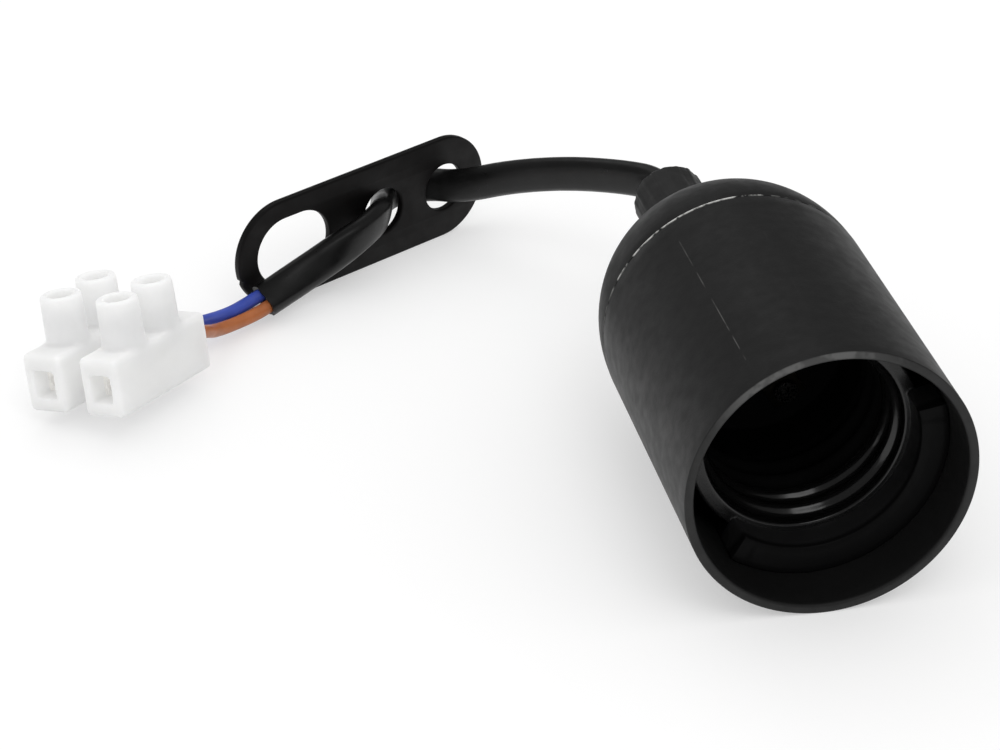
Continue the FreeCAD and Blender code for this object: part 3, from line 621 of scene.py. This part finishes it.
class LAMPHOLDER_OT_stage(bpy.types.Operator):
    """Make the camera, the floor and the soft light"""

    bl_idname = "lampholder.stage"
    bl_label = "Stage"

    def execute(self, context):
        scene = context.scene
        light = scene.stage_light
        camera = bpy.data.objects.new("Camera", bpy.data.cameras.new("Camera"))
        scene.collection.objects.link(camera)
        camera.location = (-0.1049, -0.3413, 0.2175)
        camera.rotation_euler = (math.radians(59.98), 0, math.radians(-11.7))
        camera.data.sensor_width = 36
        camera.data.lens = 106.66
        camera.data.clip_start = 0.01
        scene.camera = camera
        scene.view_settings.view_transform = "Standard"
        self.floor(scene, light)
        self.world(scene, light)
        for name, place, aim, size, power in (
                ("KeyLamp", (0.02, -0.36, 0.52), (-0.02, 0.0, 0.02), 0.26, light.key),
                ("BackLamp", (-0.10, 0.46, 0.50), (-0.03, 0.03, 0.02), 0.34, light.back)):
            lamp = bpy.data.lights.new(name, "AREA")
            lamp.size = size
            lamp.energy = power
            holder = bpy.data.objects.new(name, lamp)
            scene.collection.objects.link(holder)
            holder.location = place
            holder.rotation_euler = (Vector(aim) - Vector(place)).to_track_quat("-Z", "Y").to_euler()
        return {"FINISHED"}

    @staticmethod
    def seen(tree):
        """A factor that is 1 for the picture, for gloss and for clear parts."""
        path = tree.nodes.new("ShaderNodeLightPath")
        first = tree.nodes.new("ShaderNodeMath")
        first.operation = "MAXIMUM"
        tree.links.new(path.outputs["Is Camera Ray"], first.inputs[0])
        tree.links.new(path.outputs["Is Glossy Ray"], first.inputs[1])
        second = tree.nodes.new("ShaderNodeMath")
        second.operation = "MAXIMUM"
        tree.links.new(first.outputs[0], second.inputs[0])
        tree.links.new(path.outputs["Is Transmission Ray"], second.inputs[1])
        return second.outputs[0]

    def floor(self, scene, light):
        def sheet(bm):
            corners = [bm.verts.new((x * 3.0, y * 3.0, 0.0)) for x, y in ((-1, -1), (1, -1), (1, 1), (-1, 1))]
            bm.faces.new(corners)

        floor = bpy.data.objects.new("Floor", mesh_of("Floor", sheet))
        scene.collection.objects.link(floor)
        material = bpy.data.materials.new("pale_floor")
        material.use_nodes = True
        tree = material.node_tree
        tree.nodes.clear()
        output = tree.nodes.new("ShaderNodeOutputMaterial")
        paper = tree.nodes.new("ShaderNodeBsdfDiffuse")
        paper.inputs["Color"].default_value = (*light.paper, 1)
        glow = tree.nodes.new("ShaderNodeEmission")
        glow.inputs["Strength"].default_value = light.floor
        both = tree.nodes.new("ShaderNodeAddShader")
        tree.links.new(paper.outputs[0], both.inputs[0])
        tree.links.new(glow.outputs[0], both.inputs[1])
        choice = tree.nodes.new("ShaderNodeMixShader")
        tree.links.new(self.seen(tree), choice.inputs[0])
        tree.links.new(paper.outputs[0], choice.inputs[1])
        tree.links.new(both.outputs[0], choice.inputs[2])
        tree.links.new(choice.outputs[0], output.inputs["Surface"])
        floor.data.materials.append(material)

    def world(self, scene, light):
        """White to the camera, dimmer in gloss, and even in its light."""
        world = bpy.data.worlds.new("Studio")
        scene.world = world
        world.use_nodes = True
        tree = world.node_tree
        tree.nodes.clear()
        output = tree.nodes.new("ShaderNodeOutputWorld")
        path = tree.nodes.new("ShaderNodeLightPath")
        shades = []
        for strength in (light.sky, light.sheen, 1.0):
            background = tree.nodes.new("ShaderNodeBackground")
            background.inputs["Color"].default_value = (1, 1, 1, 1)
            background.inputs["Strength"].default_value = strength
            shades.append(background.outputs[0])
        for ray, shade in (("Is Glossy Ray", shades[1]), ("Is Transmission Ray", shades[2]),
                           ("Is Camera Ray", shades[2])):
            choice = tree.nodes.new("ShaderNodeMixShader")
            tree.links.new(path.outputs[ray], choice.inputs[0])
            tree.links.new(shades[0], choice.inputs[1])
            tree.links.new(shade, choice.inputs[2])
            shades[0] = choice.outputs[0]
        tree.links.new(shades[0], output.inputs["Surface"])


class LAMPHOLDER_OT_flex(bpy.types.Operator):
    """Make the flat flex, from the neck through the plate to its stripped end"""

    bl_idname = "lampholder.flex"
    bl_label = "Flat flex"

    def execute(self, context):
        scene = context.scene
        sizes = scene.flex_sizes
        line = flex_line(scene)
        material = flex_finish(scene.finishes.flex)
        mesh = mesh_of("flex_cover", lambda bm: tube(bm, self.rings(line, sizes)))
        finished("flex_cover", mesh, "holder", ["flex_sheath"], material)
        coat(material, "flex_in_neck")
        return {"FINISHED"}

    @staticmethod
    def section(sizes, count=28):
        """The flex's outline: two round edges and slightly full faces."""
        half = (sizes.width - sizes.thickness) / 2
        radius = sizes.thickness / 2
        found = []
        for index in range(count):
            at = 2 * math.pi * index / count
            across, up = math.cos(at), math.sin(at)
            shift = half * max(-1.0, min(1.0, up * 2.2))
            found.append((radius * across, radius * up + shift))
        return found

    def rings(self, line, sizes):
        gone = travelled(line)
        outline = self.section(sizes)
        made = []
        for point, heading, along in zip(line, headings(line), gone):
            side, up = cross_section(heading, lean_along(along / gone[-1], sizes.lean))
            swell = 1.0 + 0.012 * math.sin(along * 410) + 0.01 * math.sin(along * 173 + 1.3)
            made.append([point + side * (a * swell) + up * b for a, b in outline])
        heading = headings(line)[-1]
        last = []
        for index, point in enumerate(made[-1]):
            ragged = noise.noise(Vector((index * 0.61, 3.1, 0.0))) * 0.00035
            last.append(point + heading * ragged)
        made[-1] = last
        middle = line[-1]
        made.append([middle + (point - middle) * 0.8 for point in last])
        made.append([middle + (point - middle) * 0.78 - heading * 0.0007 for point in last])
        return made


class LAMPHOLDER_OT_cores(bpy.types.Operator):
    """Make the two insulated cores, from the stripped end into the terminal strip"""

    bl_idname = "lampholder.cores"
    bl_label = "Cores"

    def execute(self, context):
        scene = context.scene
        sizes = scene.flex_sizes
        line = flex_line(scene)
        heading = headings(line)[-1]
        _, up = cross_section(heading, lean_along(1.0, sizes.lean))
        block = block_frame(scene.block_sizes)
        pole = scene.block_sizes.pole
        finishes = scene.finishes
        for name, side, middle, base in (("blue", 1, BLUE_ROUTE, finishes.blue),
                                         ("brown", -1, BROWN_ROUTE, finishes.brown)):
            start = line[-1] + up * (side * sizes.core_spacing / 2)
            x_place = -side * pole
            points = [start - heading * 0.0006, start + heading * sizes.core_lead]
            points += [Vector(point) for point in middle]
            points += [block @ Vector((x_place, *place)) for place in (CORE_ENTRY, CORE_STOP)]
            core = route_line(f"{name}Route", points)
            material = core_finish(f"{name}_insulation", base)
            piece = f"{name}_insulated_core"
            mesh = mesh_of(piece, lambda bm, core=core: tube(bm, self.rings(core, sizes.core)))
            finished(piece, mesh, "holder", [f"{name}_core"], material)
            coat(material, f"inner_{name}_core")
        return {"FINISHED"}

    @staticmethod
    def rings(line, radius, count=20):
        made = []
        for point, heading, along in zip(line, headings(line), travelled(line)):
            side, up = cross_section(heading, 0.0)
            now = radius * (1.0 + 0.015 * math.sin(along * 700))
            made.append([point + (side * math.cos(2 * math.pi * index / count)
                                  + up * math.sin(2 * math.pi * index / count)) * now
                         for index in range(count)])
        return made


class LAMPHOLDER_OT_shell(bpy.types.Operator):
    """Make the moulded shell with its skirt, dome and ribbed neck"""

    bl_idname = "lampholder.shell"
    bl_label = "Shell"

    def execute(self, context):
        scene = context.scene
        sizes = scene.holder_sizes
        flex = scene.flex_sizes
        turns = [2 * math.pi * index / 288 for index in range(288)]
        mesh = mesh_of("shell_moulding", lambda bm: turned(
            bm, turns, lambda turn: self.profile(turn, sizes, flex), holder_place))
        finished("shell_moulding", mesh, "holder", ["outer_shell"],
                 shell_finish(scene.finishes.shell), sharp=50.0)
        coat(grip_finish(scene.finishes.plate), "cord_grip_sleeve")
        return {"FINISHED"}

    def profile(self, turn, sizes, flex):
        """Closed outline: up the outside from the rim to the neck's end, and back inside."""
        radius, rim = sizes.radius, sizes.rim_round
        inner = radius - sizes.wall
        points = bend((radius - rim, rim), rim, -90, 0, 5)
        points += run(points[-1], (radius, sizes.skirt - 0.0006), 22)
        # The seam: a shallow groove with a thin proud edge
        points += [(radius - sunk, sizes.skirt + off) for sunk, off in (
            (0.0001, -0.0004), (0.00018, -0.00028), (0.00006, -0.0002),
            (0.00004, -0.00008), (0.0002, 0.00008))]
        dome = radius - 0.00006
        flare, flare_reach = 0.0007, 0.0012
        foot = sizes.neck + flare
        last = math.acos(foot / dome)
        for step in range(1, 31):
            at = last * step / 30
            points.append((dome * math.cos(at), sizes.skirt + sizes.dome * math.sin(at)))
        start = points[-1][1]
        end = sizes.reach
        for step in range(1, 15):
            depth = start + (end - 0.0004 - start) * step / 14
            widened = flare * ease(1 - (depth - start) / flare_reach)
            points.append((self.neck(turn, depth, sizes) + widened, depth))
        outer = self.neck(turn, end, sizes)
        points += [(outer - 0.0001, end - 0.00015), (outer - 0.0004, end)]
        slot = self.slot(turn, flex, 0.0001)
        points += [(slot + 0.0002, end), (slot, end - 0.0002)]
        points += run(points[-1], (slot, sizes.pocket_end + 0.0001), 6)
        pocket = max(slot, sizes.pocket)
        points += [(pocket, sizes.pocket_end)]
        points += run(points[-1], (pocket, sizes.pocket_start), 4)
        vault = inner - 0.0011
        first = math.acos(points[-1][0] / vault)
        for step in range(0, 17):
            at = first * (1 - step / 16)
            points.append((vault * math.cos(at), sizes.skirt + vault * math.sin(at)))
        points += run(points[-1], (vault, sizes.seat + 0.0002), 3)
        points += [(vault + 0.0001, sizes.seat), (inner - 0.0001, sizes.seat), (inner, sizes.seat - 0.0001)]
        points += run(points[-1], (inner, 0.0006), 20)
        points += bend((inner + 0.0005, 0.0005), 0.0005, 180, 270, 5)[1:]
        return points

    @staticmethod
    def neck(turn, depth, sizes):
        """Ridged radius of the neck; the ridges are chipped and uneven."""
        wave = math.cos(sizes.neck_ridges * turn)
        which = round(sizes.neck_ridges * turn / (2 * math.pi)) % sizes.neck_ridges
        uneven = 0.55 + 0.6 * noise.noise(Vector((which * 1.7, 0.3, depth * 160)))
        patchy = 0.00016 * noise.noise(Vector((math.cos(turn) * 3, math.sin(turn) * 3, depth * 300)))
        return sizes.neck + sizes.neck_ridge * max(0.0, wave) ** 0.8 * min(1.0, max(0.0, uneven)) + patchy

    @staticmethod
    def slot(turn, flex, gap):
        """Radius of the flex slot; the slot is wide across the vertical."""
        half_round = flex.thickness / 2 + gap
        reach = (flex.width - flex.thickness) / 2
        across, up = abs(math.cos(turn)), abs(math.sin(turn))
        flat = half_round / max(across, 1e-6)
        if flat * up <= reach:
            return flat
        return reach * up + math.sqrt(half_round ** 2 - (reach * across) ** 2)


class LAMPHOLDER_OT_insert(bpy.types.Operator):
    """Make the threaded insert with its lip, ledge and floor"""

    bl_idname = "lampholder.insert"
    bl_label = "Threaded insert"

    def execute(self, context):
        scene = context.scene
        sizes = scene.holder_sizes
        turns = [2 * math.pi * index / 240 - math.pi for index in range(240)]
        for edge in (sizes.ledge_start, sizes.ledge_end):
            turns += [edge + math.radians(off) for off in (-1.2, -0.9, -0.6, -0.3, 0.3, 0.6, 0.9, 1.2)]
        turns = sorted(turns)
        mesh = mesh_of("threaded_insert", lambda bm: turned(
            bm, turns, lambda turn: self.profile(turn, sizes), holder_place))
        finished("threaded_insert", mesh, "holder", ["thread_liner"],
                 liner_finish(scene.finishes.liner), sharp=50.0)
        # Contact strips and rivets are painted dark: painted shade deep in the socket
        strip = metal_finish("dark_strip", scene.finishes.contact, 0.36, (1.0, 0.2, 1.0))
        rivet = metal_finish("dark_rivet", scene.finishes.rivet, 0.26)
        steel = metal_finish("tinned_lugs", scene.finishes.steel, 0.38)
        coat(strip, "centre_contact", "side_contact")
        coat(rivet, "centre_rivet", "side_rivet")
        coat(steel, "centre_lug", "side_lug")
        return {"FINISHED"}

    def profile(self, turn, sizes):
        """Open outline, from the middle of the floor's front to the middle of its back."""
        floor, lip = sizes.floor, sizes.lip
        well = sizes.well
        points = [(0.0, floor)] + run((0.0, floor), (well - 0.0005, floor), 8)
        points += bend((well - 0.0005, floor - 0.0005), 0.0005, 90, 0, 4)[1:]
        thread_low = sizes.lip_depth + 0.0009
        thread_high = sizes.thread_end
        points += run(points[-1], (well, thread_high + 0.0004), 5)
        steps = 84
        for step in range(steps + 1):
            depth = thread_high + (thread_low - thread_high) * step / steps
            points.append((self.thread(turn, depth, sizes, thread_low, thread_high), depth))
        inside = self.ledge_share(turn, sizes)
        raised = sizes.ledge_depth - 0.0002 * self.end_ridge(turn, sizes)
        flat = sizes.lip_depth
        points += [(lip, flat + 0.00045), (lip + 0.00005, flat + 0.0002), (lip + 0.0002, flat + 0.00003),
                   (lip + 0.0004, flat), (0.0141, flat)]
        outer = sizes.sleeve
        pocket = [(outer - back, flat) for back in (0.0013, 0.0011, 0.0009, 0.0007, 0.0005, 0.0003)]
        pocket += [(outer - 0.00015, flat + 0.00006), (outer - 0.00006, flat + 0.0002)]
        pocket += [(outer, flat + down) for down in (0.0005, 0.0010, 0.0017, 0.0026, 0.0028)]
        slope = 0.0007
        near, far, behind = sizes.ledge_inner, sizes.ledge_outer, 0.0150
        ledge = [(near - 0.00003, flat - 0.00003), (near, flat - 0.0002), (near, 0.0108), (near, 0.0095),
                 (near, raised + 0.00035), (near + 0.00006, raised + 0.00012), (near + 0.0002, raised),
                 (outer, raised - slope * 0.33), (far - 0.00088, raised - slope * 0.75),
                 (far - 0.00018, raised - slope * 0.92), (far, raised - slope * 0.8), (far, behind),
                 (outer, behind)]
        for low, high in zip(pocket, ledge):
            points.append(tuple(a + (b - a) * inside for a, b in zip(low, high)))
        flange = sizes.radius - sizes.wall - 0.0001
        points += run(points[-1], (sizes.sleeve, sizes.seat - 0.0026), 8)
        points += [(sizes.sleeve + 0.0002, sizes.seat - 0.0024), (flange - 0.0002, sizes.seat - 0.0024),
                   (flange, sizes.seat - 0.0022), (flange, sizes.seat - 0.0002),
                   (flange - 0.0002, sizes.seat)]
        points += run(points[-1], (0.0, sizes.seat), 8)
        return points

    @staticmethod
    def thread(turn, depth, sizes, low, high):
        """Rounded right-handed thread that runs out at both ends."""
        phase = (depth - sizes.crest_start) / sizes.pitch + turn / (2 * math.pi)
        wave = math.cos(2 * math.pi * phase)
        middle = (sizes.lip + sizes.crest) / 2
        form = middle - (sizes.lip - sizes.crest) / 2 * math.copysign(abs(wave) ** 0.8, wave)
        front = ease((depth - low) / 0.0013)
        back = ease((high - depth) / 0.0022)
        form = sizes.lip + (form - sizes.lip) * front
        return sizes.well + (form - sizes.well) * back

    @staticmethod
    def ledge_share(turn, sizes):
        rise = math.radians(2.4)
        return min(ease((turn - sizes.ledge_start) / rise + 0.5), ease((sizes.ledge_end - turn) / rise + 0.5))

    @staticmethod
    def end_ridge(turn, sizes):
        """1 on the middle of the raised ridges at the ledge's two ends."""
        half = math.radians(4.6)
        found = 0.0
        for middle in (sizes.ledge_start + half, sizes.ledge_end - half):
            away = abs(turn - middle) / half
            if away < 1:
                found = max(found, math.sqrt(1 - away ** 2))
        return found


class LAMPHOLDER_OT_plate(bpy.types.Operator):
    """Make the hanging plate with its soft edges and its small nick"""

    bl_idname = "lampholder.plate"
    bl_label = "Hanging plate"

    def execute(self, context):
        scene = context.scene
        sizes = scene.plate_sizes
        middle = sizes.width / 2
        curve = bpy.data.curves.new("PlateOutline", "CURVE")
        curve.dimensions = "2D"
        curve.fill_mode = "BOTH"
        curve.extrude = sizes.thickness / 2 - sizes.edge
        curve.bevel_depth = sizes.edge
        curve.bevel_resolution = 3
        curve.offset = -sizes.edge
        outlines = [self.long_form(0.0, middle, sizes.length, sizes.width, nick=True),
                    self.long_form(sizes.hook_offset, middle, sizes.hook_length, sizes.hook_width)]
        for place in (sizes.outer_hole, sizes.inner_hole):
            outlines.append(self.long_form(place, middle, 2 * sizes.cord_hole, 2 * sizes.cord_hole))
        for outline in outlines:
            spline = curve.splines.new("POLY")
            spline.points.add(len(outline) - 1)
            for control, (x, y) in zip(spline.points, outline):
                control.co = (x, y, 0.0, 1.0)
            spline.use_cyclic_u = True
        holder = bpy.data.objects.new("PlateOutline", curve)
        mesh = bpy.data.meshes.new_from_object(holder)
        bpy.data.objects.remove(holder)
        bpy.data.curves.remove(curve)
        bm = bmesh.new()
        bm.from_mesh(mesh)
        bmesh.ops.remove_doubles(bm, verts=bm.verts, dist=1e-6)
        bmesh.ops.recalc_face_normals(bm, faces=bm.faces)
        bm.to_mesh(mesh)
        bm.free()
        mesh.transform(plate_frame(sizes))
        finished("plate_moulding", mesh, "holder", ["hanger_plate"],
                 plate_finish(scene.finishes.plate), sharp=40.0)
        return {"FINISHED"}

    @staticmethod
    def long_form(x, y, length_now, width, nick=False):
        """Outline with half-round ends, anticlockwise."""
        reach = (length_now - width) / 2
        radius = width / 2
        found = []
        for end, first in ((1, -90), (-1, 90)):
            for step in range(49):
                at = math.radians(first + 180 * step / 48)
                near = abs(math.degrees(at) - 199)
                chip = 0.00035 * (1 - near / 3.2) if nick and end == -1 and near < 3.2 else 0.0
                here = radius - chip
                found.append((x + end * reach + here * math.cos(at), y + here * math.sin(at)))
        kept = [found[0]]
        for point in found[1:]:
            if math.dist(point, kept[-1]) > 1e-6:
                kept.append(point)
        if math.dist(kept[0], kept[-1]) < 1e-6:
            kept.pop()
        return kept


class LAMPHOLDER_OT_block(bpy.types.Operator):
    """Make the milky terminal strip, with its brass tubes, screws and wire ends"""

    bl_idname = "lampholder.block"
    bl_label = "Terminal strip"

    def execute(self, context):
        scene = context.scene
        sizes = scene.block_sizes
        finishes = scene.finishes
        rough = bpy.data.objects.new("HousingForm", NODES["block_housing"].data.copy())
        scene.collection.objects.link(rough)
        weld = rough.modifiers.new("Weld", "WELD")
        weld.merge_threshold = 1e-6
        remesh = rough.modifiers.new("Remesh", "REMESH")
        remesh.mode = "VOXEL"
        remesh.voxel_size = sizes.grain
        smooth = rough.modifiers.new("Soften", "SMOOTH")
        smooth.factor = 0.5
        smooth.iterations = sizes.softness
        context.view_layer.update()
        graph = context.evaluated_depsgraph_get()
        mesh = bpy.data.meshes.new_from_object(rough.evaluated_get(graph))
        bpy.data.objects.remove(rough)
        finished("milky_housing", mesh, "holder", ["block_housing"],
                 milky_finish(finishes.milky), sharp=80.0)
        # The tubes get a painted glow
        tube_material = metal_finish("plated_tube", finishes.tube, 0.3, (1.0, 1.0, 0.2), glow=0.3)
        coat(tube_material, "brass_tube_blue", "brass_tube_brown")
        coat(metal_finish("bare_copper", finishes.copper, 0.3, (0.3, 1.0, 1.0)), "blue_copper_end",
             "brown_copper_end")
        coat(metal_finish("plated_screws", finishes.steel, 0.3), "screw_blue_supply", "screw_blue_wired",
             "screw_brown_supply", "screw_brown_wired")
        return {"FINISHED"}


class LAMPHOLDER_OT_lay_cord(bpy.types.Operator):
    """Work out the flex's line; nothing more is done with it"""

    bl_idname = "lampholder.lay_cord"
    bl_label = "Declare flex"

    def execute(self, context):
        scene = context.scene
        line = flex_line(scene)
        return {"FINISHED"}


class LAMPHOLDER_PT_sidebar(bpy.types.Panel):
    """The holder's pieces, in the order in which they are made"""

    bl_idname = "LAMPHOLDER_PT_sidebar"
    bl_label = "Lamp Holder"
    bl_space_type = "VIEW_3D"
    bl_region_type = "UI"
    bl_category = "Lamp Holder"

    def draw(self, context):
        layout = self.layout
        for step in STEPS:
            layout.operator(step.bl_idname)
        for group in GROUPS:
            box = layout.box()
            settings = getattr(context.scene, group)
            for name in settings.__annotations__:
                box.prop(settings, name)


STEPS = (LAMPHOLDER_OT_stage, LAMPHOLDER_OT_flex, LAMPHOLDER_OT_cores, LAMPHOLDER_OT_shell,
         LAMPHOLDER_OT_insert, LAMPHOLDER_OT_plate, LAMPHOLDER_OT_block, LAMPHOLDER_OT_lay_cord)
GROUPS = {"holder_sizes": HolderSizes, "flex_sizes": FlexSizes, "plate_sizes": PlateSizes,
          "block_sizes": BlockSizes, "finishes": Finishes, "stage_light": StageLight}


def register():
    for group in GROUPS.values():
        bpy.utils.register_class(group)
    for step in STEPS:
        bpy.utils.register_class(step)
    bpy.utils.register_class(LAMPHOLDER_PT_sidebar)
    for name, group in GROUPS.items():
        setattr(bpy.types.Scene, name, PointerProperty(type=group))


def unregister():
    for name in GROUPS:
        delattr(bpy.types.Scene, name)
    bpy.utils.unregister_class(LAMPHOLDER_PT_sidebar)
    for step in reversed(STEPS):
        bpy.utils.unregister_class(step)
    for group in GROUPS.values():
        bpy.utils.unregister_class(group)


def main():
    register()
    bpy.ops.lampholder.stage()
    bpy.ops.lampholder.flex()
    bpy.ops.lampholder.cores()
    bpy.ops.lampholder.shell()
    bpy.ops.lampholder.insert()
    bpy.ops.lampholder.plate()
    bpy.ops.lampholder.block()
    bpy.ops.lampholder.lay_cord()


if __name__ == "__main__":
    main()
